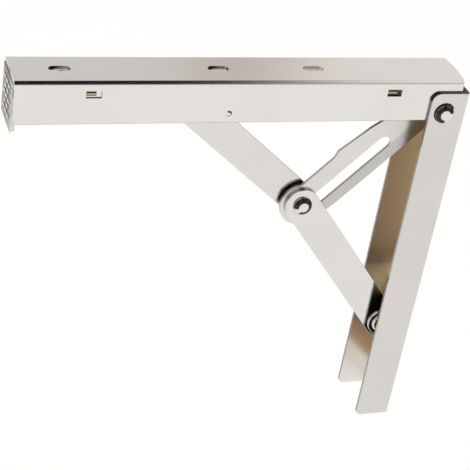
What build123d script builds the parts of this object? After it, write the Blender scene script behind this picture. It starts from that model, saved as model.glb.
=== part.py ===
"""Folding table bracket: a table arm and a wall arm, held square by three links."""
from build123d import *
from math import atan2, cos, degrees, hypot, radians, sin
import os

# Frame: X = 0 is the wall face, the table arm runs towards -X, Y = 0 is the middle plane,
# and Z = 0 is the middle screw hole of the wall arm. Near means -Y. Sizes are in millimetres.

# Sheet and fits
sheet = 2.0
bend_radius = 2.6
link_sheet = 2.4
slotted_sheet = 2.2
nest_gap = 0.3
running_gap = 0.05
side_gap = 0.15
edge_break = 0.3

# Table arm
table_length = 300.0
table_width = 36.0
table_depth = 29.2
web_bulge = 1.3
corner_cut_along = 2.5
corner_cut_up = 5.0
hidden_corner_radius = 5.0
outer_slot_inset = 30.6
middle_slot_back = 166.9
inner_slot_back = 102.0
table_slot_length = 14.0
table_slot_width = 7.2
outer_window_inset = 49.4
inner_window_back = 49.0
window_length = 10.0
window_height = 5.0
window_drop = 8.8
dimple_back = 161.6
dimple_drop = 22.8
dimple_radius = 2.0
dimple_depth = 0.5

# Wall arm
wall_length = 274.6
wall_depth = 27.0
wall_top_radius = 6.0
wall_bottom_radius = 4.0
screw_radius = 2.75
screw_spacing = 100.0
screw_count = 3

# Where the pivots are when the bracket is open, measured from the main hinge
hinge_height = 135.0
hinge_to_wall = 16.0
hinge_to_table_top = 23.5
hinge_to_flange_end = 10.5
hinge_to_wall_top = 15.0
mid_back = 84.17
mid_drop = 75.94
upper_back = 182.0
upper_rise = 7.0
lower_forward = 2.94
lower_drop = 180.0

# Links; the slotted one is measured along and across the line that leaves the hinge at slot_angle
link_inset = 6.2
upper_link_width = 23.6
lower_link_width = 24.2
slot_angle = 47.0
slot_offset = 4.0
slot_width = 9.4
slot_start = 43.35
slotted_eye_radius = 11.0
slotted_end_radius = 15.5
slotted_end_forward = 0.5
slotted_end_offset = 8.8
slotted_edge = 8.7
narrow_edge = 20.9
step_low = 74.55
step_high = 69.55
step_edge = 22.9
taper_place = 41.5
taper_edge = 20.1

# Rivets, washers and spacers
shank_radius = 4.0
head_radius = 6.75
head_flat_radius = 3.75
head_height = 2.4
head_rim = 0.5
hinge_head_height = 2.6
mid_head_height = 3.2
low_head_radius = 6.0
low_head_height = 1.3
spacer_radius = 6.5
washer_sheet = 1.2
mid_washer_radius = 8.0
mid_washer_sheet = 2.1
lower_washer_radius = 10.5
lower_head_radius = 7.5
tail_flare = 1.0

# Lug that carries the lower pivot
lug_sheet = 2.0
lug_radius = 10.0
lug_half_height = 15.0
lug_foot_width = 18.0

# Block that carries the upper pivot
block_length = 22.0
block_height = 14.0
tongue_length = 14.0
tongue_height = 8.0
block_travel = 6.0
slide_gap = 0.1

# Release bar
bar_sheet = 1.2
bar_gap = 0.2
bar_end = 30.0
bar_bend_radius = 1.0
plate_below = 6.6
plate_proud = 0.6
plate_corner = 1.0
plate_return = 3.0
bar_travel = 3.0
catch_play = 0.3
bar_slot_length = 22.0
bar_slot_width = 9.5
finger_height = 2.2
finger_recess = 0.8
leg_width = 5.0
grip_rows = 5
grip_row_pitch = 5.0
grip_bars = 3
grip_pitch = 7.6
grip_length = 5.4
grip_width = 2.0
grip_height = 0.6
grip_margin = 5.0

# Return spring of the release bar, from a stud on the far flange to a tab of the bar
stud_inset = 15.5
stud_rise = 8.0
stud_radius = 1.6
stud_reach = 9.0
stud_head_radius = 2.9
stud_head_sheet = 1.0
return_radius = 2.2
return_wire = 0.8
return_turns = 6
return_lead = 4.5
tab_inset = 35.5
tab_width = 6.0

# Values that follow from the sizes above
hinge_x = -hinge_to_wall
hinge_z = hinge_height
table_top = hinge_z + hinge_to_table_top
table_under = table_top - sheet
table_bottom = table_top - table_depth
flange_end = hinge_x + hinge_to_flange_end
table_start = flange_end - table_length
slot_centres = (table_start + outer_slot_inset, flange_end - middle_slot_back, flange_end - inner_slot_back)
window_centres = (table_start + outer_window_inset, flange_end - inner_window_back)
table_inner = table_width / 2 - sheet
wall_width = table_width + 2 * (nest_gap + sheet)
wall_inner = wall_width / 2 - sheet
wall_top = hinge_z + hinge_to_wall_top
wall_bottom = wall_top - wall_length
mid_x = hinge_x - mid_back
mid_z = hinge_z - mid_drop
upper_x = hinge_x - upper_back
upper_z = hinge_z + upper_rise
lower_x = hinge_x - lower_forward
lower_z = hinge_z - lower_drop

# Layers across the bracket, from the near flange of the table arm inwards
lower_front = -table_inner + link_inset
lower_back = lower_front + link_sheet
slotted_front = lower_back + side_gap
slotted_back = slotted_front + slotted_sheet
mid_washer_front = slotted_back + side_gap
upper_front = mid_washer_front + mid_washer_sheet + side_gap
upper_back_face = upper_front + link_sheet
block_front = upper_back_face + side_gap + washer_sheet
block_back = table_inner - slide_gap
lug_front = lower_back + side_gap
lug_back = lug_front + lug_sheet
bore_radius = shank_radius + running_gap

os.makedirs("parts", exist_ok=True)


def save(piece, name):
    """Label a finished piece and write it to its own file."""
    piece.part.label = name
    export_step(piece.part, f"parts/{name}.step")


def layer(y):
    """Plane across the bracket at depth y; an extrusion from it grows towards the near side."""
    return Plane.XZ.offset(-y)


def pivot_plane(x, z):
    """Plane through a pivot axis: its x is the radius and its y runs along the axis."""
    return Plane(origin=(x, 0, z), x_dir=(1, 0, 0), z_dir=(0, 0, 1))


def link_plane(x, z, y, x_to, z_to):
    """Plane at depth y with its x along the line from one pivot to the next."""
    return Plane(origin=(x, y, z), x_dir=(x_to - x, 0, z_to - z), z_dir=(0, -1, 0))


def pivot_hole_plane(x, z):
    """Plane at a pivot, facing along its axis, for a hole through everything there."""
    return Plane(origin=(x, 0, z), x_dir=(1, 0, 0), z_dir=(0, 1, 0))


def ring(x, z, front, thickness, outer, inner):
    """Washer or tube on a pivot, with its outer edges broken."""
    with BuildPart() as piece:
        with BuildSketch(layer(front + thickness)):
            with Locations((x, z)):
                Circle(outer)
                Circle(inner, mode=Mode.SUBTRACT)
        extrude(amount=thickness)
        rims = piece.edges().filter_by(GeomType.CIRCLE).sort_by(SortBy.RADIUS)[-2:]
        chamfer(rims, edge_break)
    return piece


def rivet(x, z, seat, height, radius, flat, end, facing=-1):
    """Turned rivet: a domed head with a flat end, seated at a face, and a shank to the other end."""
    tip = seat + facing * height
    rim = seat + facing * head_rim
    bulge_x = flat + 0.75 * (radius - flat)
    bulge_y = rim + facing * 0.6 * (height - head_rim)
    with BuildPart() as piece:
        with BuildSketch(pivot_plane(x, z)):
            with BuildLine():
                Polyline((0, end), (0, tip), (flat, tip))
                ThreePointArc((flat, tip), (bulge_x, bulge_y), (radius, rim))
                Polyline((radius, rim), (radius, seat), (shank_radius, seat))
                Polyline((shank_radius, seat), (shank_radius, end), (0, end))
            make_face()
        revolve(axis=Axis((x, 0, z), (0, 1, 0)))
    return piece


# Wall arm: a folded channel with its web against the wall
with BuildPart() as wall_channel:
    with BuildSketch(Plane.XY.offset(wall_bottom)):
        with BuildLine():
            FilletPolyline(
                (-wall_depth, -wall_width / 2),
                (0, -wall_width / 2),
                (0, wall_width / 2),
                (-wall_depth, wall_width / 2),
                radius=bend_radius,
            )
            offset(amount=sheet, side=Side.LEFT)
        make_face()
    extrude(amount=wall_length)
    corners = wall_channel.edges().filter_by(Axis.Y).group_by(Axis.X)[0]
    fillet(corners.group_by(Axis.Z)[-1], wall_top_radius)
    corners = wall_channel.edges().filter_by(Axis.Y).group_by(Axis.X)[0]
    fillet(corners.group_by(Axis.Z)[0], wall_bottom_radius)
    with Locations(pivot_hole_plane(hinge_x, hinge_z)):
        Hole(bore_radius)
    with Locations(Plane.YZ):
        with GridLocations(1, screw_spacing, 1, screw_count):
            Hole(screw_radius)
save(wall_channel, "wall_channel")

# Lug: an angle on the wall arm's web, whose ear carries the lower pivot
lug_foot_front = -sheet - lug_sheet
with BuildPart() as pivot_lug:
    with BuildSketch(layer(lug_back)):
        with Locations((lower_x, lower_z)):
            Circle(lug_radius)
        with BuildLine():
            Polyline(
                (lower_x, lower_z + lug_radius),
                (-sheet, lower_z + lug_half_height),
                (-sheet, lower_z - lug_half_height),
                (lower_x, lower_z - lug_radius),
                close=True,
            )
        make_face()
    extrude(amount=lug_sheet)
    with BuildSketch(Plane.YZ.offset(lug_foot_front)):
        with Locations((lug_front + lug_foot_width / 2, lower_z)):
            Rectangle(lug_foot_width, 2 * lug_half_height)
    extrude(amount=lug_sheet)
    foot_end = pivot_lug.edges().filter_by(Axis.X).group_by(Axis.Y)[-1]
    fillet(foot_end, lug_sheet)
    with Locations(Plane(origin=(lower_x, lug_back, lower_z), z_dir=(0, 1, 0))):
        CounterSinkHole(shank_radius, shank_radius + tail_flare, depth=lug_sheet, counter_sink_angle=90)
save(pivot_lug, "pivot_lug")

# Table arm: an inverted channel; its web is bolted under the table
with BuildPart() as table_channel:
    with BuildSketch(Plane.YZ.offset(table_start)):
        with BuildLine():
            FilletPolyline(
                (-table_width / 2, table_bottom),
                (-table_width / 2, table_top),
                (table_width / 2, table_top),
                (table_width / 2, table_bottom),
                radius=bend_radius,
            )
            offset(amount=sheet, side=Side.RIGHT)
        make_face()
    extrude(amount=table_length)
    with BuildSketch(Plane.XY.offset(table_under)):
        with BuildLine():
            ThreePointArc((flange_end, -table_inner), (flange_end + web_bulge, 0), (flange_end, table_inner))
            Line((flange_end, table_inner), (flange_end, -table_inner))
        make_face()
    extrude(amount=sheet)
    lower_corners = table_channel.edges().filter_by(Axis.Y).group_by(Axis.Z)[0]
    fillet(lower_corners.group_by(Axis.X)[-1], hidden_corner_radius)
    with BuildSketch(Plane.XZ):
        with BuildLine():
            Polyline(
                (table_start, table_bottom),
                (table_start + corner_cut_along, table_bottom),
                (table_start, table_bottom + corner_cut_up),
                close=True,
            )
        make_face()
    extrude(amount=table_width, both=True, mode=Mode.SUBTRACT)
    with BuildSketch(Plane.XY.offset(table_top)):
        with Locations(*[(centre, 0) for centre in slot_centres]):
            SlotOverall(table_slot_length, table_slot_width)
    extrude(amount=-2 * sheet, mode=Mode.SUBTRACT)
    with BuildSketch(Plane.XZ):
        with Locations(*[(centre, table_top - window_drop) for centre in window_centres]):
            Rectangle(window_length, window_height)
    extrude(amount=table_width, both=True, mode=Mode.SUBTRACT)
    with BuildSketch(layer(table_width / 2 + sheet)):
        with Locations((upper_x + block_travel / 2, upper_z)):
            SlotOverall(tongue_length + block_travel + 2 * slide_gap, tongue_height + 2 * slide_gap)
    extrude(amount=3 * sheet, mode=Mode.SUBTRACT)
    with BuildSketch(layer(-table_width / 2 + dimple_depth)):
        with Locations((flange_end - dimple_back, table_top - dimple_drop)):
            Circle(dimple_radius)
    extrude(amount=2 * dimple_depth, mode=Mode.SUBTRACT)
    with Locations(pivot_hole_plane(hinge_x, hinge_z)):
        Hole(bore_radius)
save(table_channel, "table_channel")

# Main hinge: one rivet through both channels, with tubes that hold the slotted link in its layer
wall_face_y = wall_width / 2
with BuildPart() as hinge_pin:
    with BuildSketch(pivot_plane(hinge_x, hinge_z)):
        with BuildLine():
            near_tip = -wall_face_y - hinge_head_height
            far_tip = wall_face_y + hinge_head_height
            near_rim = -wall_face_y - head_rim
            far_rim = wall_face_y + head_rim
            bulge_x = head_flat_radius + 0.75 * (head_radius - head_flat_radius)
            bulge_y = head_rim + 0.6 * (hinge_head_height - head_rim)
            Polyline((0, far_tip), (0, near_tip), (head_flat_radius, near_tip))
            ThreePointArc(
                (head_flat_radius, near_tip),
                (bulge_x, -wall_face_y - bulge_y),
                (head_radius, near_rim),
            )
            Polyline(
                (head_radius, near_rim),
                (head_radius, -wall_face_y),
                (shank_radius, -wall_face_y),
                (shank_radius, wall_face_y),
                (head_radius, wall_face_y),
                (head_radius, far_rim),
            )
            ThreePointArc(
                (head_radius, far_rim),
                (bulge_x, wall_face_y + bulge_y),
                (head_flat_radius, far_tip),
            )
            Line((head_flat_radius, far_tip), (0, far_tip))
        make_face()
    revolve(axis=Axis((hinge_x, 0, hinge_z), (0, 1, 0)))
save(hinge_pin, "hinge_pin")

near_tube = slotted_front + table_inner - 2 * side_gap
hinge_spacer_near = ring(hinge_x, hinge_z, side_gap - table_inner, near_tube, spacer_radius, bore_radius)
save(hinge_spacer_near, "hinge_spacer_near")

far_tube = table_inner - slotted_back - 2 * side_gap
hinge_spacer_far = ring(hinge_x, hinge_z, slotted_back + side_gap, far_tube, spacer_radius, bore_radius)
save(hinge_spacer_far, "hinge_spacer_far")


def plain_link(x, z, x_to, z_to, back, width):
    """Flat bar with round ends and a hole at each pivot."""
    length = hypot(x_to - x, z_to - z)
    with BuildPart() as piece:
        with BuildSketch(link_plane(x, z, back, x_to, z_to)):
            with Locations((length / 2, 0)):
                SlotCenterToCenter(length, width)
            with Locations((0, 0), (length, 0)):
                Circle(bore_radius, mode=Mode.SUBTRACT)
        extrude(amount=link_sheet)
        rims = ShapeList()
        for face in piece.faces().filter_by(Axis.Y):
            rims += face.outer_wire().edges()
        chamfer(rims, edge_break / 2)
    return piece


# Plain links: the lower one from the wall arm, the upper one from the table arm, to the middle pivot
lower_link = plain_link(lower_x, lower_z, mid_x, mid_z, lower_back, lower_link_width)
save(lower_link, "lower_link")

upper_link = plain_link(upper_x, upper_z, mid_x, mid_z, upper_back_face, upper_link_width)
save(upper_link, "upper_link")

# Slotted link: its slot guides the middle pivot, and the slot turns aside into a notch that locks it.
# Its own x runs from the hinge down the link and its own y towards the wall.
along_x = -cos(radians(slot_angle))
along_z = -sin(radians(slot_angle))
mid_along = -mid_back * along_x - mid_drop * along_z
mid_across = mid_back * along_z - mid_drop * along_x
end_along = mid_along + slotted_end_forward
with BuildPart() as slotted_link:
    slotted_plane = Plane(
        origin=(hinge_x, slotted_back, hinge_z), x_dir=(along_x, 0, along_z), z_dir=(0, -1, 0)
    )
    with BuildSketch(slotted_plane):
        with BuildLine():
            Polyline(
                (0, slotted_edge),
                (end_along - slotted_end_radius, slotted_edge),
                (end_along, slotted_end_radius - slotted_end_offset),
                (end_along, -narrow_edge),
                (step_low, -narrow_edge),
                (step_high, -step_edge),
                (taper_place, -taper_edge),
                (0, -slotted_eye_radius),
                close=True,
            )
        make_face()
        Circle(slotted_eye_radius)
        with Locations((end_along, -slotted_end_offset)):
            Circle(slotted_end_radius)
        slot_length = mid_along - slot_start
        with Locations((slot_start + slot_length / 2, -slot_offset)):
            SlotCenterToCenter(slot_length, slot_width, mode=Mode.SUBTRACT)
        notch_length = -slot_offset - mid_across
        with Locations((mid_along, mid_across + notch_length / 2)):
            SlotCenterToCenter(notch_length, slot_width, rotation=90, mode=Mode.SUBTRACT)
        Circle(bore_radius, mode=Mode.SUBTRACT)
    extrude(amount=slotted_sheet)
save(slotted_link, "slotted_link")

# Lower pivot: rivet and washer in front of the lower link, through the lug. The rivet's tail is
# spread flush with the lug, so that the upper pivot can pass behind it when the bracket is folded.
lower_seat = lower_front - washer_sheet
lower_washer = ring(lower_x, lower_z, lower_seat, washer_sheet, lower_washer_radius, bore_radius)
save(lower_washer, "lower_washer")

with BuildPart() as lower_rivet:
    with BuildSketch(pivot_plane(lower_x, lower_z)):
        with BuildLine():
            Polyline(
                (0, lower_seat - low_head_height),
                (lower_head_radius - low_head_height, lower_seat - low_head_height),
                (lower_head_radius, lower_seat - edge_break),
                (lower_head_radius, lower_seat),
                (shank_radius, lower_seat),
                (shank_radius, lug_back - tail_flare),
                (shank_radius + tail_flare, lug_back),
                (0, lug_back),
                close=True,
            )
        make_face()
    revolve(axis=Axis((lower_x, 0, lower_z), (0, 1, 0)))
save(lower_rivet, "lower_rivet")

# Middle pivot, layer by layer: front rivet, roller in the notch, washer, rear rivet
mid_rivet = rivet(mid_x, mid_z, lower_front, mid_head_height, head_radius, head_flat_radius, lower_back)
save(mid_rivet, "mid_rivet")

roller_radius = slot_width / 2 - running_gap
slot_roller = ring(mid_x, mid_z, slotted_front, slotted_sheet, roller_radius, shank_radius - edge_break)
save(slot_roller, "slot_roller")

mid_washer = ring(mid_x, mid_z, mid_washer_front, mid_washer_sheet, mid_washer_radius, bore_radius)
save(mid_washer, "mid_washer")

mid_rear_rivet = rivet(
    mid_x,
    mid_z,
    upper_back_face,
    low_head_height,
    low_head_radius,
    head_flat_radius,
    mid_washer_front,
    facing=1,
)
save(mid_rear_rivet, "mid_rear_rivet")

# Upper pivot: a rivet through the upper link into a block that slides in the far flange
upper_rivet = rivet(
    upper_x, upper_z, upper_front, low_head_height, low_head_radius, head_flat_radius, block_back
)
save(upper_rivet, "upper_rivet")

upper_washer_front = upper_back_face + side_gap / 2
upper_washer = ring(upper_x, upper_z, upper_washer_front, washer_sheet, spacer_radius, bore_radius)
save(upper_washer, "upper_washer")

with BuildPart() as slide_block:
    with BuildSketch(layer(block_back)):
        with Locations((upper_x, upper_z)):
            RectangleRounded(block_length, block_height, 2 * sheet)
    extrude(amount=block_back - block_front)
    chamfer(slide_block.faces().sort_by(Axis.Y)[0].edges(), edge_break)
    with BuildSketch(layer(table_width / 2 - slide_gap)):
        with Locations((upper_x, upper_z)):
            SlotOverall(tongue_length, tongue_height)
    extrude(amount=sheet)
    with BuildSketch(layer(table_inner)):
        with Locations((upper_x, upper_z)):
            Circle(shank_radius)
    extrude(amount=table_inner - block_front, mode=Mode.SUBTRACT)
save(slide_block, "slide_block")

# Release bar: a strip under the web. Its outer end is a push plate with turned-in sides, and beside
# each window hangs a leg whose finger crosses the window.
bar_top = table_under - bar_gap
bar_under = bar_top - bar_sheet
bar_half = table_inner - bar_gap
plate_outer = table_start - plate_proud
plate_bottom = table_bottom - plate_below
window_z = table_top - window_drop
finger_length = window_length - bar_travel - 2 * catch_play
leg_height = bar_under - window_z + finger_height / 2
spring_y = table_inner - stud_reach / 2
spring_z = hinge_z + stud_rise
tab_x = table_start + tab_inset
tab_height = bar_under - spring_z + tab_width / 2
with BuildPart() as release_bar:
    with BuildSketch(Plane.XY.offset(bar_under)):
        with BuildLine():
            Polyline(
                (plate_outer, -bar_half),
                (hinge_x - bar_end, -bar_half),
                (hinge_x - bar_end, bar_half),
                (plate_outer, bar_half),
                close=True,
            )
        make_face()
        with Locations(*[(centre, 0) for centre in slot_centres]):
            SlotOverall(bar_slot_length, bar_slot_width, mode=Mode.SUBTRACT)
    extrude(amount=bar_sheet)
    plate_height = bar_top - plate_bottom
    with BuildSketch(Plane.YZ.offset(plate_outer)):
        with Locations((0, plate_bottom + plate_height / 2)):
            plate_face = Rectangle(2 * bar_half, plate_height)
        fillet(plate_face.vertices().group_by(Axis.Z)[0], plate_corner)
    extrude(amount=bar_sheet)
    bend = release_bar.edges().filter_by(Axis.Y).group_by(Axis.Z)[-1].sort_by(Axis.X)[0]
    fillet(bend, bar_bend_radius)
    grip_top = bar_under - grip_margin
    with BuildSketch(Plane.YZ.offset(plate_outer)):
        for row in range(grip_rows):
            with Locations((0, grip_top - row * grip_row_pitch)):
                with GridLocations(grip_pitch, 1, grip_bars - row % 2, 1):
                    SlotOverall(grip_length, grip_width)
    extrude(amount=-grip_height)
    return_height = bar_under - plate_bottom - plate_corner
    for side in (-1, 1):
        with BuildSketch(Plane.XZ.offset(-side * bar_half)):
            with Locations((plate_outer + plate_return / 2, bar_under - return_height / 2)):
                Rectangle(plate_return, return_height)
        extrude(amount=side * bar_sheet)
        for centre in window_centres:
            finger_start = centre - window_length / 2 + catch_play
            finger_mid = finger_start + finger_length / 2
            with BuildSketch(Plane.XZ.offset(-side * bar_half)):
                with Locations((finger_start - leg_width / 2, bar_under - leg_height / 2)):
                    Rectangle(leg_width, leg_height)
                with Locations((finger_mid, window_z)):
                    Rectangle(finger_length, finger_height)
            extrude(amount=side * bar_sheet)
            with BuildSketch(Plane.XZ.offset(-side * (table_width / 2 - finger_recess))):
                with Locations((finger_mid, window_z)):
                    Rectangle(finger_length, finger_height)
            extrude(amount=side * sheet)
    with BuildSketch(Plane.YZ.offset(tab_x)):
        with Locations((spring_y, bar_under - tab_height / 2)):
            Rectangle(tab_width, tab_height)
        with Locations((spring_y, spring_z)):
            Circle(return_wire, mode=Mode.SUBTRACT)
    extrude(amount=bar_sheet)
save(release_bar, "release_bar")

# Stud for the return spring, on the far flange, with a head that keeps the spring's loop on
stud_x = table_start + stud_inset
with BuildPart() as spring_stud:
    with BuildSketch(layer(table_inner)):
        with Locations((stud_x, spring_z)):
            Circle(stud_radius)
    extrude(amount=stud_reach)
    with BuildSketch(layer(table_inner - stud_reach + stud_head_sheet)):
        with Locations((stud_x, spring_z)):
            Circle(stud_head_radius)
    extrude(amount=stud_head_sheet)
save(spring_stud, "spring_stud")

# Return spring: a close coil, a loop round the stud and a hook through the tab.
# The hook reaches past the tab by the bar's travel.
coil_x = stud_x + return_lead
hook_x = tab_x + bar_sheet + bar_travel + return_wire
with BuildPart() as release_spring:
    return_coil = Helix(
        pitch=return_wire + running_gap,
        height=return_turns * (return_wire + running_gap),
        radius=return_radius,
        center=(coil_x, spring_y, spring_z),
        direction=(1, 0, 0),
        mode=Mode.PRIVATE,
    )
    with BuildSketch(Plane(origin=return_coil @ 0, z_dir=return_coil % 0)):
        Circle(return_wire / 2)
    sweep(path=return_coil, is_frenet=True)
    loop_radius = stud_radius + return_wire / 2 + side_gap
    loop_end = (stud_x + loop_radius, spring_y, spring_z)
    coil_foot = return_coil @ 0
    with BuildLine() as lead_in:
        Polyline(coil_foot, (coil_foot.X, spring_y, spring_z), loop_end)
    with BuildSketch(Plane(origin=coil_foot, z_dir=lead_in.line % 0)):
        Circle(return_wire / 2)
    sweep(path=lead_in.line, transition=Transition.RIGHT)
    with Locations(Plane(origin=(stud_x, spring_y, spring_z), z_dir=(0, 1, 0))):
        Torus(loop_radius, return_wire / 2)
    coil_head = return_coil @ 1
    with BuildLine() as lead_out:
        Polyline(
            coil_head,
            (coil_head.X, spring_y, spring_z),
            (hook_x, spring_y, spring_z),
            (hook_x, spring_y, spring_z - 3 * return_wire),
        )
    with BuildSketch(Plane(origin=coil_head, z_dir=lead_out.line % 0)):
        Circle(return_wire / 2)
    sweep(path=lead_out.line, transition=Transition.RIGHT)
save(release_spring, "release_spring")
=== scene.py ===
# %% [markdown]
# # A folding table bracket in satin nickel
# The bracket is two folded channels, a wall arm and a table arm, held square by two plain links and
# a slotted one. Its shapes come finished from the packed model, so this lesson is about looks: how
# plated sheet steel catches soft studio light. We load the model first, because every later step
# paints one of its pieces, and we measure its box. All lengths are in metres: x runs into the wall,
# and z points up.

# %% Load the bracket
from math import atan2, cos, degrees, pi, radians, sin

import bpy
from mathutils import Matrix, Vector


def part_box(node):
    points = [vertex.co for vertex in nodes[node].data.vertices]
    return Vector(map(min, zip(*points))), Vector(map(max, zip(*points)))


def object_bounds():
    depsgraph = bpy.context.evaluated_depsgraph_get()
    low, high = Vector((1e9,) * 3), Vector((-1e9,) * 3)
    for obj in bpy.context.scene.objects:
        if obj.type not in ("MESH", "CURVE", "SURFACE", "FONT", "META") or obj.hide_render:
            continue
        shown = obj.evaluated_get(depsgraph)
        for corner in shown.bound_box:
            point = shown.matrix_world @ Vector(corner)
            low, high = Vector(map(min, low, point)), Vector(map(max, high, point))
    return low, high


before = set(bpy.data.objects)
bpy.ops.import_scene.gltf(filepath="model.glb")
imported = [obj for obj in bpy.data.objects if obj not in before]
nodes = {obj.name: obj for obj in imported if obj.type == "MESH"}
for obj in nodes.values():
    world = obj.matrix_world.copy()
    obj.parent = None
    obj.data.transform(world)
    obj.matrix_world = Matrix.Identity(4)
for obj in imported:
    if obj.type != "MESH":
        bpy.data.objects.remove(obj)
cad_low, cad_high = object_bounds()
print("box in mm:", [round(1000 * v, 1) for v in (cad_high - cad_low)])

# %% [markdown]
# ## Where the camera stands
# A long lens far away flattens a bracket, and a short one stretches its near end. This one is seen
# from above and to the left, with mild perspective. A constraint could aim the camera, but typed
# numbers are exact. The viewing direction is kept as a rotation vector, an axis whose length is the
# angle, because it turns into a matrix in one line.

# %% Place the camera
camera_place = Vector((-0.45965, -0.78728, 0.56105))
turn = Vector((0.58168382, -0.32486042, 0.05940667))
film_width = 36.0
picture_width = 470.0
focal_pixels = 1451.4194
level_view = Matrix(((1, 0, 0), (0, 0, -1), (0, 1, 0)))
to_camera = Matrix.Rotation(turn.length, 3, turn.normalized()) @ level_view
right, down, forward = to_camera
camera_data = bpy.data.cameras.new("studio_camera")
camera_data.sensor_width = film_width
camera_data.lens = film_width * focal_pixels / picture_width
camera_data.clip_start = 0.05
camera_data.clip_end = 50.0
camera = bpy.data.objects.new("studio_camera", camera_data)
bpy.context.scene.collection.objects.link(camera)
axes = Matrix((right, -down, -forward)).transposed()
camera.matrix_world = Matrix.Translation(camera_place) @ axes.to_4x4()
bpy.context.scene.camera = camera
print("lens in mm:", round(camera_data.lens, 1), "looks along", [round(v, 3) for v in forward])

# %% [markdown]
# ## Shader maths as plain expressions
# Blender mixes colours and numbers with nodes. Wiring each node by hand hides the idea, so we wrap
# a socket in a small class: adding or multiplying two of them adds the Math node for us, and the
# reflected forms let us write 1 - mask. A mask is a number from 0 to 1 that says where a finish is.
# Three methods make one from any measure, and its soft edge keeps it clean at every distance.

# %% A socket that can be used in an expression
class Socket:
    def __init__(self, paint, socket):
        self.paint = paint
        self.socket = socket

    def _maths(self, operation, *values):
        return self.paint.node("ShaderNodeMath", {"operation": operation}, values)

    def __add__(self, other):
        return self._maths("ADD", self, other)

    def __sub__(self, other):
        return self._maths("SUBTRACT", self, other)

    def __rsub__(self, other):
        return self._maths("SUBTRACT", other, self)

    def __mul__(self, other):
        return self._maths("MULTIPLY", self, other)

    def __truediv__(self, other):
        return self._maths("DIVIDE", self, other)

    def __pow__(self, other):
        return self._maths("POWER", self, other)

    def __abs__(self):
        return self._maths("ABSOLUTE", self)

    def least(self, other):
        return self._maths("MINIMUM", self, other)

    def most(self, other):
        return self._maths("MAXIMUM", self, other)

    def step(self, low, high):
        """0 below low, 1 above high. Low may be the larger, which turns it round."""
        turned_round = low > high
        start, end = (high, low) if turned_round else (low, high)
        made = self.paint.node(
            "ShaderNodeMapRange",
            {"interpolation_type": "SMOOTHSTEP"},
            {"Value": self, "From Min": start, "From Max": end},
            "Result",
        )
        return 1 - made if turned_round else made

    def above(self, limit, soft):
        """1 above the limit, with an edge that is soft by this much on both sides."""
        return self.step(limit - soft, limit + soft)

    def below(self, limit, soft):
        """1 below the limit, with the same soft edge."""
        return self.step(limit + soft, limit - soft)

    __radd__ = __add__
    __rmul__ = __mul__


print("operators ready:", [n for n in vars(Socket) if n.startswith("__") and n != "__init__"][:8])

# %% [markdown]
# The nodes of a material or of the world hang on a tree, and a second class wraps that. One method
# adds any node from its type, its settings and its inputs, and the others are short names for the
# nodes that every finish needs. Colours have their own way to mix, because a Math node would turn a
# colour grey.

# %% A tree that can be painted with
class Paint:
    def __init__(self, tree):
        self.tree = tree

    def node(self, kind, settings=None, values=(), output=0):
        node = self.tree.nodes.new(kind)
        for name, value in (settings or {}).items():
            setattr(node, name, value)
        named = values.items() if isinstance(values, dict) else enumerate(values)
        for key, value in named:
            self.plug(node.inputs[key], value)
        return Socket(self, node.outputs[output]) if node.outputs else None

    def plug(self, target, value):
        if isinstance(value, Socket):
            self.tree.links.new(value.socket, target)
        else:
            target.default_value = value

    def mix(self, share, first, second):
        """A colour between two colours."""
        values = {0: share, 6: first, 7: second}
        return self.node("ShaderNodeMix", {"data_type": "RGBA"}, values, 2)

    def split(self, vector):
        """The three numbers of a vector."""
        first = self.node("ShaderNodeSeparateXYZ", None, (vector,))
        return [Socket(self, out) for out in first.socket.node.outputs]

    def join(self, x, y, z):
        return self.node("ShaderNodeCombineXYZ", None, (x, y, z))

    def place(self):
        """Where a point lies, in the part's own coordinates."""
        return self.node("ShaderNodeTexCoord", None, (), "Object")

    def facing(self):
        """The direction that the surface faces, as three numbers."""
        return self.split(self.node("ShaderNodeTexCoord", None, (), "Normal"))

    def noise(self, place, size, detail=2.0):
        """Smooth random values from 0 to 1. Size is that of one lump, in the unit of place."""
        values = {"Vector": place, "Scale": 1.0 / size, "Detail": detail}
        return self.node("ShaderNodeTexNoise", {"noise_dimensions": "3D"}, values)


def colour(red, green, blue):
    return (red, green, blue, 1.0)


black = colour(0, 0, 0)
print("ways to paint:", [n for n in vars(Paint) if not n.startswith("_")])

# %% [markdown]
# ## The studio round the bracket
# Polished metal has almost no colour of its own. It shows what stands round it, so the studio is
# half of the material. A picture of a room could surround the bracket, but soft shapes that are
# worked out from a ray's direction are easier to steer. A grey wall behind shows in the flat top,
# with one darker upright card and a glow beside it. A dark ceiling draws the thin black line along
# the folds, and its bright right side lets that line fade towards the hinge. Its left side keeps
# the top silvery from above and from behind. Most of that side is bright in mirror reflections
# alone, which leaves the floor as it is. The camera itself sees a plain white backdrop.

# %% Build the surroundings
world = bpy.data.worlds.new("studio")
bpy.context.scene.world = world
world.use_nodes = True
world.node_tree.nodes.clear()
studio = Paint(world.node_tree)
direction = studio.node("ShaderNodeTexCoord", None, (), "Generated")
aim_x, aim_y, aim_z = studio.split(direction)
heading = studio.node("ShaderNodeMath", {"operation": "ARCTAN2"}, (aim_x, aim_y))
front_wall, back_wall = 0.4, 0.76
right_lamp, far_left_lamp, left_lamp = 0.97, 0.45, 0.8
card_shade, card_glow = 0.14, 0.15
card_foot, card_head, card_fade = 0.2, 0.8, 0.1
room_tint, card_tint = colour(1.0, 0.98, 0.955), colour(0.97, 0.92, 0.85)


def card(centre_heading, half_width, soft):
    """An upright card with soft edges. Its heading is counted from the back wall, in degrees."""
    edge = radians(half_width)
    across = abs(heading - radians(centre_heading)).below(edge, edge * soft)
    return across * (aim_z.above(card_foot, card_fade) * aim_z.below(card_head, card_fade))


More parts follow.
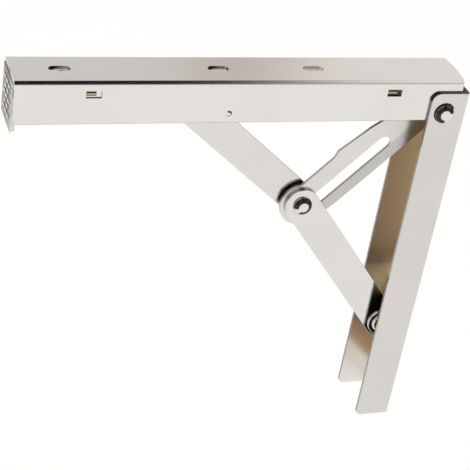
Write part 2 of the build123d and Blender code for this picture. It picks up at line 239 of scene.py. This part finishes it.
room = front_wall + (back_wall - front_wall) * aim_y.step(-0.1, 0.5)
ceiling = aim_z.step(0.1, 0.35) * aim_y.step(0.62, 0.42)
right_side = right_lamp * aim_x.step(0.31, 0.425)
far_left = far_left_lamp * aim_x.step(-0.4, -0.55)
mirrored = studio.node("ShaderNodeLightPath", None, (), "Is Glossy Ray")
left_side = left_lamp * mirrored * aim_x.step(0.08, 0.02)
ceiling_light = (right_side + far_left).most(left_side)
dark_card = card(21.5, 2.5, 0.8)
bright_card = card(30, 8, 0.3)
light = room * (1 - ceiling) + ceiling * ceiling_light
light = light - card_shade * dark_card + card_glow * bright_card
tint = studio.mix(dark_card, room_tint, card_tint)
surround = studio.node("ShaderNodeBackground", None, {"Color": tint, "Strength": light})
backdrop = studio.node("ShaderNodeBackground", None, {"Color": colour(1, 1, 1), "Strength": 1.0})
seen = studio.node("ShaderNodeLightPath", None, (), "Is Camera Ray")
both = studio.node("ShaderNodeMixShader", None, (seen, surround, backdrop))
studio.node("ShaderNodeOutputWorld", None, {"Surface": both})
bpy.context.scene.view_settings.view_transform = "Standard"
print("world nodes:", len(world.node_tree.nodes))

# %% [markdown]
# ## A pale floor
# The floor lies well below the bracket, as if it hung on a wall that isn't there, so no hard shadow
# touches it. It is a plain sheet with a very slight unevenness. Its finish is the first one, so the
# two helpers that start and end every finish come here.

# %% Lay the floor
floor_drop = 0.25
reach = 7.0
floor_level = cad_low.z - floor_drop
floor_mesh = bpy.data.meshes.new("floor")
corners = [(-reach, -reach), (reach, -reach), (reach, reach), (-reach, reach)]
floor_mesh.from_pydata([(x, y, floor_level) for x, y in corners], [], [(0, 1, 2, 3)])
floor = bpy.data.objects.new("floor", floor_mesh)
bpy.context.scene.collection.objects.link(floor)


def finish_on(name):
    """An empty material with its tree, ready for a finish."""
    material = bpy.data.materials.new(name)
    material.use_nodes = True
    material.node_tree.nodes.clear()
    return material, Paint(material.node_tree)


def surface(paint, values):
    """The shader of a finish and its output."""
    shader = paint.node("ShaderNodeBsdfPrincipled", None, values, "BSDF")
    paint.node("ShaderNodeOutputMaterial", None, {"Surface": shader})


paper, paint = finish_on("pale_paper")
cloud = paint.noise(paint.place(), 0.8)
white = paint.mix(cloud, colour(0.93, 0.93, 0.925), colour(0.95, 0.95, 0.945))
surface(paint, {"Base Color": white, "Roughness": 0.9, "Specular IOR Level": 0.1})
floor_mesh.materials.append(paper)
print("floor lies", round(1000 * floor_drop), "mm below the bracket")

# %% [markdown]
# ## Lights
# One broad softbox overhead lights the floor, and the floor lights the bracket from below. A
# smaller one from the front left gives the near faces their even brightness. Both are hidden from
# mirror reflections, so they don't wipe out the dark line on the folds.

# %% Hang the lights
def softbox(name, place, aim, size, power):
    data = bpy.data.lights.new(name, "AREA")
    data.shape = "RECTANGLE"
    data.size, data.size_y = size
    data.energy = power
    made = bpy.data.objects.new(name, data)
    bpy.context.scene.collection.objects.link(made)
    made.location = place
    made.rotation_mode = "QUATERNION"
    made.rotation_quaternion = (Vector(aim) - Vector(place)).to_track_quat("-Z", "Y")
    made.visible_glossy = False


softbox("overhead_softbox", (0, 0, 3.0), (0, 0, 0), (9.0, 9.0), 232.0)
softbox("front_softbox", (-1.0, -3.0, 1.6), (-0.1, 0, 0), (3.0, 2.0), 6.0)

# %% [markdown]
# ## Satin nickel on rolled sheet
# The channels are cold-rolled steel with a thin coat of nickel. Rolling leaves faint lines along
# the sheet, the plating bath leaves soft cloudy patches, and the coat turns a little warmer where
# it is thick. None of it is strong: the eye reads it as silkiness. A picture of brushed metal would
# repeat on such long arms, so the lines are noise that is stretched along the sheet.

# %% Coordinates on a piece
line_stretch = 0.03


def along_frame(paint, angle):
    """Coordinates turned in the side view, so that the first runs along a piece at this angle."""
    x, y, z = paint.split(paint.place())
    c, s = cos(angle), sin(angle)
    return x * c + z * s, y, z * c - x * s


def rolled_lines(paint, along, across, up, pitch):
    """Fine lines along the sheet."""
    return paint.noise(paint.join(along * line_stretch, across, up), pitch, 3.0)


print("a line is about", round(1 / line_stretch), "times as long as it is wide")

# %% [markdown]
# Every piece of the bracket is bare metal, so every finish ends in the same way: fully metallic,
# with a roughness that varies and a shallow bump. The bump is given a real depth, which keeps it
# shallow on a small washer and on a long arm alike. The base colour of nickel is a warm grey.

# %% Bare metal
nickel_light = colour(0.764, 0.741, 0.719)
nickel_warm = colour(0.722, 0.689, 0.651)


def metal(paint, tint, rough, height, strength, depth):
    values = {"Strength": strength, "Distance": depth, "Height": height}
    bump = paint.node("ShaderNodeBump", None, values)
    surface(paint, {"Base Color": tint, "Metallic": 1.0, "Roughness": rough, "Normal": bump})


def dress(material, node):
    """Give a CAD node this finish."""
    mesh = nodes[node].data
    mesh.materials.clear()
    mesh.materials.append(material)
    print(material.name, "on", node)


print("nickel from", nickel_light[:3], "to", nickel_warm[:3])

# %% [markdown]
# A sheet finish then only needs its direction. The clouds move the colour slightly between a cooler
# and a warmer grey, tiny pits darken it, and the fine lines go to the roughness and to the bump.
# Where the sheet was sheared the coat is thin and the edge is darker, and the same dark colour
# paints shade on edges that lie in gaps and windows, so a piece may bring a mask of its cut and
# shaded edges. It may also bring a mask of its hazy faces and a function that paints what it alone
# has. The lug inside the wall arm needs none of these, so it is dressed first.

# %% The sheet finish
nickel_pit = colour(0.42, 0.39, 0.36)
# Dark for sheared edges with a thin coat, and painted shade on edges that lie in gaps and windows.
sheared_edge_and_shade = colour(0.05, 0.045, 0.04)
fine_line, broad_line = 0.00045, 0.003
cloud_size, pit_size = 0.035, 0.0011
cloud_ramp, pit_ramp = (0.35, 0.7), (0.70, 0.78)
broad_share, pit_share = 0.35, 0.35
cloud_rough, line_rough, pit_rough, haze_rough = 0.05, 0.09, 0.1, 0.24
line_bump, line_depth = 0.12, 0.0002


def plated_sheet(
    name,
    angle,
    shine=0.2,
    warmth=0.5,
    grain=0.5,
    tone=1.0,
    edges=None,
    edge_share=1.0,
    extra=None,
    haze=None,
):
    """Satin nickel whose rolling lines run at this angle in the side view."""
    material, paint = finish_on(name)
    along, across, up = along_frame(paint, angle)
    lines = rolled_lines(paint, along, across, up, fine_line)
    broad_lines = rolled_lines(paint, along, across, up, broad_line)
    clouds = paint.noise(paint.join(along, across, up), cloud_size, 3.0)
    pits = paint.noise(paint.join(along, across, up), pit_size).step(*pit_ramp)
    patch = clouds.step(*cloud_ramp) * warmth + (broad_lines - 0.5) * broad_share
    tint = paint.mix(patch.most(0.0).least(1.0), nickel_light, nickel_warm)
    tint = paint.mix(pits * pit_share, tint, nickel_pit)
    if tone < 1:
        tint = paint.mix(1 - tone, tint, black)
    if extra:
        tint = extra(paint, tint)
    # The edge mask darkens cut edges, partly for the thin coat and partly as painted shade.
    if edges:
        tint = paint.mix(edges(paint) * edge_share, tint, sheared_edge_and_shade)
    rough = shine + cloud_rough * (clouds - 0.5) + line_rough * grain * (lines - 0.5)
    rough = rough + pit_rough * pits
    if haze:
        rough = rough + haze_rough * haze(paint)
    metal(paint, tint, rough, lines * 0.6 + broad_lines * 0.4, line_bump * grain, line_depth)
    return material


dress(plated_sheet("nickel_lug", pi / 2), "pivot_lug")

# %% [markdown]
# ## Where things are on the sheet pieces
# Slots, windows, ends and pivots each have a tone of their own. They could be painted by hand on
# an unwrapped copy, but places that are counted from the packed model's own boxes need no
# unwrapping. We collect them here, with the sheet's thickness and a hair's width for soft edges.

# %% Measure the sheet pieces
def axis_of(node):
    """Where a round piece stands in the side view."""
    low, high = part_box(node)
    return ((low.x + high.x) / 2, (low.z + high.z) / 2)


def round_about(x, z, centre):
    """The way from a centre in the side view: to the right, up, and its length."""
    off_x, off_z = x - centre[0], z - centre[1]
    return off_x, off_z, (off_x * off_x + off_z * off_z) ** 0.5


hair = 0.0001
sheet = 0.002
table_low, table_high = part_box("table_channel")
wall_low, wall_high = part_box("wall_channel")
bar_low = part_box("release_bar")[0]
hinge_at = axis_of("hinge_pin")
inner_face = wall_high.y - sheet
flange_line = table_high.y - sheet
web_bottom = table_high.z - sheet
window_height = table_high.z - 0.0088
window_half = 0.0027
slot_centres = [table_low.x + along for along in (0.0306, 0.1331, 0.198)]
dimple = (table_low.x + 0.1384, table_high.z - 0.0228)
print("slots at mm", [round(1000 * x, 1) for x in slot_centres])
print("dimple at mm", [round(1000 * v, 1) for v in dimple])

# %% [markdown]
# ## Cut edges and painted edge shade
# A press shears the sheet, and the bath coats the raw edge thinly. The same dark colour also paints
# shade on edges that lie in a gap or a window. Materials could be given face by face, but the faces
# are the model's and may change, so the finish looks at two things instead: which way the surface
# faces, and how far it is from the end of the piece.

# %% Find the cut edges
top_round = 0.00625
web_line = -0.004


def edge_on(share):
    """Faces that look neither this way nor the opposite way, given their share of it."""
    return abs(share).below(0.5, 0.1)


def link_edges(paint):
    """Every face of a flat link but its two broad ones."""
    return edge_on(paint.facing()[1])


def table_edges_and_window_shade(paint):
    """The lower ends of the table arm's flanges, and the walls of its windows, which are painted
    dark as shade.
    """
    y, z = paint.split(paint.place())[1:]
    flange_ends = z.below(table_low.z + 1.5 * hair, 0.5 * hair)
    window_walls = edge_on(paint.facing()[1]) * abs(y).above(flange_line, 2 * hair)
    window_walls = window_walls * abs(z - window_height).below(window_half, hair)
    return flange_ends.most(window_walls)


def wall_edges_and_gap_shade(paint):
    """The wall arm's flange ends, its bottom, and the round of its top. The dark on its up-facing
    edges is painted shadow from the gap under the table arm.
    """
    x, _, z = paint.split(paint.place())
    across, up = paint.facing()[1:]
    flange_ends = x.below(wall_low.x + 1.5 * hair, 0.5 * hair)
    rounded = edge_on(across) * z.above(wall_high.z - top_round, 2.5 * hair)
    rounded = rounded * x.below(web_line, 5 * hair)
    return abs(up).above(0.7, 0.1).most(flange_ends * 0.6).most(rounded)


print("edges drawn for", [f.__name__ for f in (link_edges, table_edges_and_window_shade, wall_edges_and_gap_shade)])

# %% [markdown]
# ## Slots and dimple
# Each slot in the table arm's web is a short tunnel in thin sheet. Its outer end lies in deep shade
# and its inner end catches light, but the last slot is pale all round. More light bounces might
# find some of this, at a price, so the shade and the light are painted on the slots' walls. The
# dimple is so shallow that only the shadow inside its upper rim is seen, and it is painted as a
# small crescent.

# %% Shade the slots and the dimple
# The masks reach a little past the slots, because only upright faces inside them are shaded.
slot_half_length, slot_half_width = 0.008, 0.00425
slot_shade = colour(0.015, 0.013, 0.012)
slot_painted_light = colour(0.42, 0.38, 0.33)
last_slot_painted_light = colour(0.52, 0.49, 0.38)
dimple_shade = colour(0.06, 0.055, 0.05)


def slots_and_dimple(paint, tint):
    """Painted shade and light on the slot walls, darkest at their outer end, and the dimple's
    painted shadow crescent.
    """
    x, y, z = paint.split(paint.place())
    walls = edge_on(paint.facing()[2]) * abs(y).below(slot_half_width, 2.5 * hair)
    walls = walls * z.step(web_bottom - 0.001, web_bottom - hair)
    inner_end = 0.0
    for centre in slot_centres:
        inside = abs(x - centre).below(slot_half_length, 5 * hair)
        inner_end = inner_end + (x - centre).step(-0.003, 0.006) * inside
    last_slot = x.above(slot_centres[2] - 0.011, 0.001)
    # Painted shade and painted light on the slot walls, and a paler painted light in the last slot.
    slot_tone = paint.mix(inner_end, slot_shade, slot_painted_light)
    slot_tone = paint.mix(last_slot, slot_tone, last_slot_painted_light)
    tint = paint.mix(walls, tint, slot_tone)
    # A painted shadow crescent inside the dimple's upper rim.
    off_x, off_z, radius = round_about(x, z, dimple)
    crescent = radius.step(0.0022, 0.0019) * (off_z + 0.4 * off_x).above(4 * hair, 2 * hair)
    return paint.mix(crescent * y.below(table_low.y + 9 * hair, hair), tint, dimple_shade)


table_finish = plated_sheet(
    "nickel_table_sheet", 0.0, 0.14, edges=table_edges_and_window_shade, extra=slots_and_dimple
)
dress(table_finish, "table_channel")

# %% [markdown]
# ## Inside the wall arm
# Between the flanges the light bounces many times, and each bounce adds the warm tone of the coat.
# The coat is also hazier there, because the bath hardly reaches into a deep channel. Waiting for
# the bounces would cost time, so the browns are painted: each takes over from the one above it at
# its own height, and the two lowest meet on a slanted line. Painted shade darkens the middle of the
# near flange's inner face, and a painted shadow lies in a dark ring round the main rivet.

# %% Paint the wall arm
top_brown = colour(0.755, 0.65, 0.52)
level_browns = [
    (0.012, -0.004, colour(0.69, 0.58, 0.47)),
    (-0.01, -0.015, colour(0.99, 0.87, 0.65)),
    (-0.022, -0.05, colour(0.62, 0.49, 0.36)),
]
slanted_browns = [
    (-0.084, -0.094, colour(0.87, 0.845, 0.78)),
    (-0.097, -0.106, colour(0.77, 0.745, 0.70)),
]
near_flange_shade = colour(0.07, 0.06, 0.05)
rivet_shade = colour(0.02, 0.018, 0.016)
halo_centre = (hinge_at[0] - 0.0004, hinge_at[1] + 0.0009)
lit_side = (0.82, -0.57)
slant_start = -0.018


def inside_wall(paint):
    """The faces between the wall arm's flanges."""
    x, y = paint.split(paint.place())[:2]
    return abs(y).below(inner_face + 1.5 * hair, 0.5 * hair) * x.below(-2 * hair, hair)


def bounce_and_shade_inside(paint, tint):
    """The painted browns and shade between the flanges, and the painted shadow ring round the main
    rivet.
    """
    x, y, z = paint.split(paint.place())
    brown = top_brown
    for start, end, next_brown in level_browns:
        brown = paint.mix(z.step(start, end), brown, next_brown)
    slanted = z + (x - slant_start)
    for start, end, next_brown in slanted_browns:
        brown = paint.mix(slanted.step(start, end), brown, next_brown)
    # Painted shade on the middle of the near flange's inner face.
    shaded_flange = y.step(0.0, -0.005) * z.step(-0.018, -0.03) * z.step(-0.085, -0.075)
    brown = paint.mix(shaded_flange, brown, near_flange_shade)
    tint = paint.mix(inside_wall(paint), tint, brown)
    # A painted shadow ring round the main rivet, open on its lit side.
    off_x, off_z, radius = round_about(x, z, halo_centre)
    lit = (off_x * lit_side[0] + off_z * lit_side[1]) / radius
    halo = radius.step(0.0077, 0.0072) * lit.below(0.5, 0.1)
    return paint.mix(halo * y.step(0.0, -0.001), tint, rivet_shade)


wall_finish = plated_sheet(
    "nickel_wall_sheet",
    pi / 2,
    0.14,
    tone=0.87,
    edges=wall_edges_and_gap_shade,
    extra=bounce_and_shade_inside,
    haze=inside_wall,
)
dress(wall_finish, "wall_channel")

# %% [markdown]
# ## The release bar
# The bar slides under the table arm's web. Its push plate at the outer end is painted with shade
# where it lies back between its raised grip bars, more darkly towards the back, and only the raised
# bars keep the bright nickel. Its fingers are painted brown and dark as shade where they show in
# the flanges' windows, and what shows of it at the left ends of the first two slots is painted with
# shade. The bar is one folded piece, so one finish with masks does all of this.

# %% Paint the release bar
plate_depth = 0.00325
plate_pale_shade = colour(0.32, 0.31, 0.30)
plate_deep_shade = colour(0.07, 0.068, 0.065)
under_slot_shade = colour(0.01, 0.009, 0.008)
finger_shade_brown = colour(0.42, 0.35, 0.26)
finger_shade = colour(0.03, 0.025, 0.02)


def plate_and_fingers(paint, tint):
    """Painted shade on the push plate round its bright raised bars, under the slots, and on the
    fingers.
    """
    x, y, z = paint.split(paint.place())
    side, _, up = paint.facing()
    plate = x.below(bar_low.x + plate_depth, 2.5 * hair) * side.below(-0.5, 0.1)
    raised = x.below(bar_low.x + 2 * hair, 0.5 * hair)
    # Painted shade on the recessed plate, darker towards the back.
    plate_shade_tone = paint.mix(y.step(-0.014, -0.002), plate_pale_shade, plate_deep_shade)
    tint = paint.mix(plate * (1 - raised), tint, plate_shade_tone)
    # Painted shade where the bar shows at the left ends of the first two slots.
    shaded_left_ends = 0.0
    for centre in slot_centres[:2]:
        off = x - centre
        shaded_left_ends = shaded_left_ends + off.step(-0.001, -0.004) * off.step(-0.011, -0.0105)
    shaded_left_ends = shaded_left_ends * abs(up).below(0.7, 0.1) * abs(y).step(0.006, 0.0055)
    tint = paint.mix(shaded_left_ends, tint, under_slot_shade)
    tint = paint.mix(raised, tint, nickel_light)
    # Painted shade on the fingers in the windows, darkest along the windows' rims.
    rim = abs(z - window_height).step(0.0005, 0.0008)
    finger_shade_tone = paint.mix(rim, finger_shade_brown, finger_shade)
    return paint.mix(abs(y).above(flange_line, 2 * hair), tint, finger_shade_tone)


bar_finish = plated_sheet("nickel_bar_sheet", 0.0, 0.24, tone=0.9, extra=plate_and_fingers)
dress(bar_finish, "release_bar")

# %% [markdown]
# ## The links
# Each link is blanked from strip, so its rolling lines run from pivot to pivot. The two plain links
# take their direction from the rivets at their ends, measured on the packed model. The slotted one
# has a direction of its own, because its middle pivot sits beside the slot's line. The narrow bar
# under its slot is a little darker than the rest, and its root at the hinge is darkened by a
# painted reflection of the arms' flanges.

# %% Dress the links
slot_line = radians(47)
link_edge_share = 0.4
lower_bar_share, root_reflection_share = 0.22, 0.1


def slope(first, last):
    """The angle of the line between two rivets."""
    (x, z), (x_to, z_to) = axis_of(first), axis_of(last)
    return atan2(z_to - z, x_to - x)


def link_finish(name, angle, shine, warmth, grain, tone, extra=None):
    edges = link_edges, link_edge_share
    return plated_sheet(name, angle, shine, warmth, grain, tone, *edges, extra)


def darker_bar_and_reflected_root(paint, tint):
    """Darken the bar under the slot, and the end at the hinge with a painted reflection."""
    x, _, z = paint.split(paint.place())
    across_link = (x - hinge_at[0]) * sin(slot_line) - (z - hinge_at[1]) * cos(slot_line)
    along_link = (hinge_at[0] - x) * cos(slot_line) + (hinge_at[1] - z) * sin(slot_line)
    share = across_link.step(-0.002, 0.0015) * lower_bar_share
    # Painted reflection darkens the root near the hinge.
    share = share + along_link.step(0.045, 0.02) * root_reflection_share
    return paint.mix(share, tint, black)


upper_slope = slope("upper_rivet", "mid_rivet")
lower_slope = slope("mid_rivet", "lower_rivet")
print("upper link falls", round(degrees(upper_slope), 1), "lower", round(degrees(lower_slope), 1))
dress(link_finish("nickel_upper_link", upper_slope, 0.12, 0.6, 0.5, 0.94), "upper_link")
dress(link_finish("nickel_lower_link", lower_slope, 0.1, 0.4, 0.3, 0.95), "lower_link")
slotted_finish = link_finish("nickel_slotted_link", slot_line, 0.25, 0.5, 0.5, 0.93, darker_bar_and_reflected_root)
dress(slotted_finish, "slotted_link")

# %% [markdown]
# ## Rivets, washers and tubes
# These are turned or upset, so their marks run round the axis. Marks could be cut into the mesh,
# but they are finer than a pixel, so we feed the distance from the axis to noise, which gives
# rings. A rivet's flat end is struck bright by the punch, and painted shade darkens its flank, so
# that contrast makes the heads readable from a distance. On two heads the painted shade is left off
# the lit side of the flank: that side is given as a direction and the cosine of the angle where it
# ends.

# %% The turned finish
struck_flat, head_rim = 0.0035, 0.0067
ring_pitch, skin_cloud = 0.0003, 0.004
ring_rough, skin_rough = 0.1, 0.06
deep_flank_shade, faint_flank_shade = 0.97, 0.3
no_lit_side = (0.0, 0.0, 1.0)


def turned(name, axis, shine, flank_shade=0.0, lit_flank=no_lit_side):
    """Nickel with rings round an axis. A head also has painted shade on the flank round its flat
    end.
    """
    material, paint = finish_on(name)
    place = paint.place()
    x, y, z = paint.split(place)
    off_x, off_z, radius = round_about(x, z, axis)
    rings = paint.noise(paint.join(radius, y, 0.0), ring_pitch)
    clouds = paint.noise(place, skin_cloud)
    tint = paint.mix(clouds, nickel_light, nickel_warm)
    rough = shine + ring_rough * (rings - 0.5) + skin_rough * (clouds - 0.5)
    if flank_shade:
        lit_x, lit_z, lit_side_ends = lit_flank
        # Painted shade on the flank, left off on the lit side.
        flank = radius.above(struck_flat, 3 * hair) * radius.below(head_rim, 3 * hair)
        towards_lit = (off_x * lit_x + off_z * lit_z) / radius
        flank = flank * towards_lit.below(lit_side_ends, 0.05)
        tint = paint.mix(flank * flank_shade, tint, rivet_shade)
    metal(paint, tint, rough, rings, 0.1, hair)
    return material


# Each head: the strength of its painted flank shade, and its lit side with the cosine where it
# ends.
heads = {
    "hinge_pin": (deep_flank_shade, (*lit_side, 0.6)),
    "mid_rivet": (deep_flank_shade, (-0.8, -0.6, 0.91)),
    "lower_rivet": (faint_flank_shade, no_lit_side),
    "upper_rivet": (faint_flank_shade, no_lit_side),
    "mid_rear_rivet": (faint_flank_shade, no_lit_side),
}
for node, (flank_shade, lit_flank) in heads.items():
    dress(turned("nickel_" + node, axis_of(node), 0.22, flank_shade, lit_flank), node)
turned_rings = ["lower_washer", "mid_washer", "upper_washer"]
turned_rings += ["hinge_spacer_near", "hinge_spacer_far", "slot_roller", "spring_stud"]
for node in turned_rings:
    dress(turned("nickel_" + node, axis_of(node), 0.2), node)

# %% [markdown]
# ## The return spring and the sliding block
# Spring wire is drawn and oil-hardened, so it is darker than the plated sheet, with streaks along
# the wire. The block is sintered and slightly grainy. Both lie half hidden inside the table arm, so
# plain noise is enough, stretched for the one and even for the other.

# %% Dress the spring and the block
def drawn_wire(name):
    material, paint = finish_on(name)
    place = paint.place()
    x, y, z = paint.split(place)
    streaks = paint.noise(paint.join(x * 0.3, y * 3.0, z * 0.3), 0.0006, 3.0)
    clouds = paint.noise(place, 0.003)
    tint = paint.mix(clouds, colour(0.34, 0.33, 0.32), colour(0.5, 0.48, 0.45))
    metal(paint, tint, 0.24 + 0.12 * (streaks - 0.5), streaks, 0.15, hair)
    return material


def sintered(name):
    material, paint = finish_on(name)
    place = paint.place()
    grain = paint.noise(place, 0.0005, 3.0)
    clouds = paint.noise(place, 0.008)
    tint = paint.mix(clouds, colour(0.55, 0.53, 0.5), colour(0.68, 0.65, 0.61))
    metal(paint, tint, 0.38 + 0.15 * (grain - 0.5), grain, 0.3, 0.0002)
    return material


dress(drawn_wire("spring_wire"), "release_spring")
dress(sintered("sintered_block"), "slide_block")

# %% [markdown]
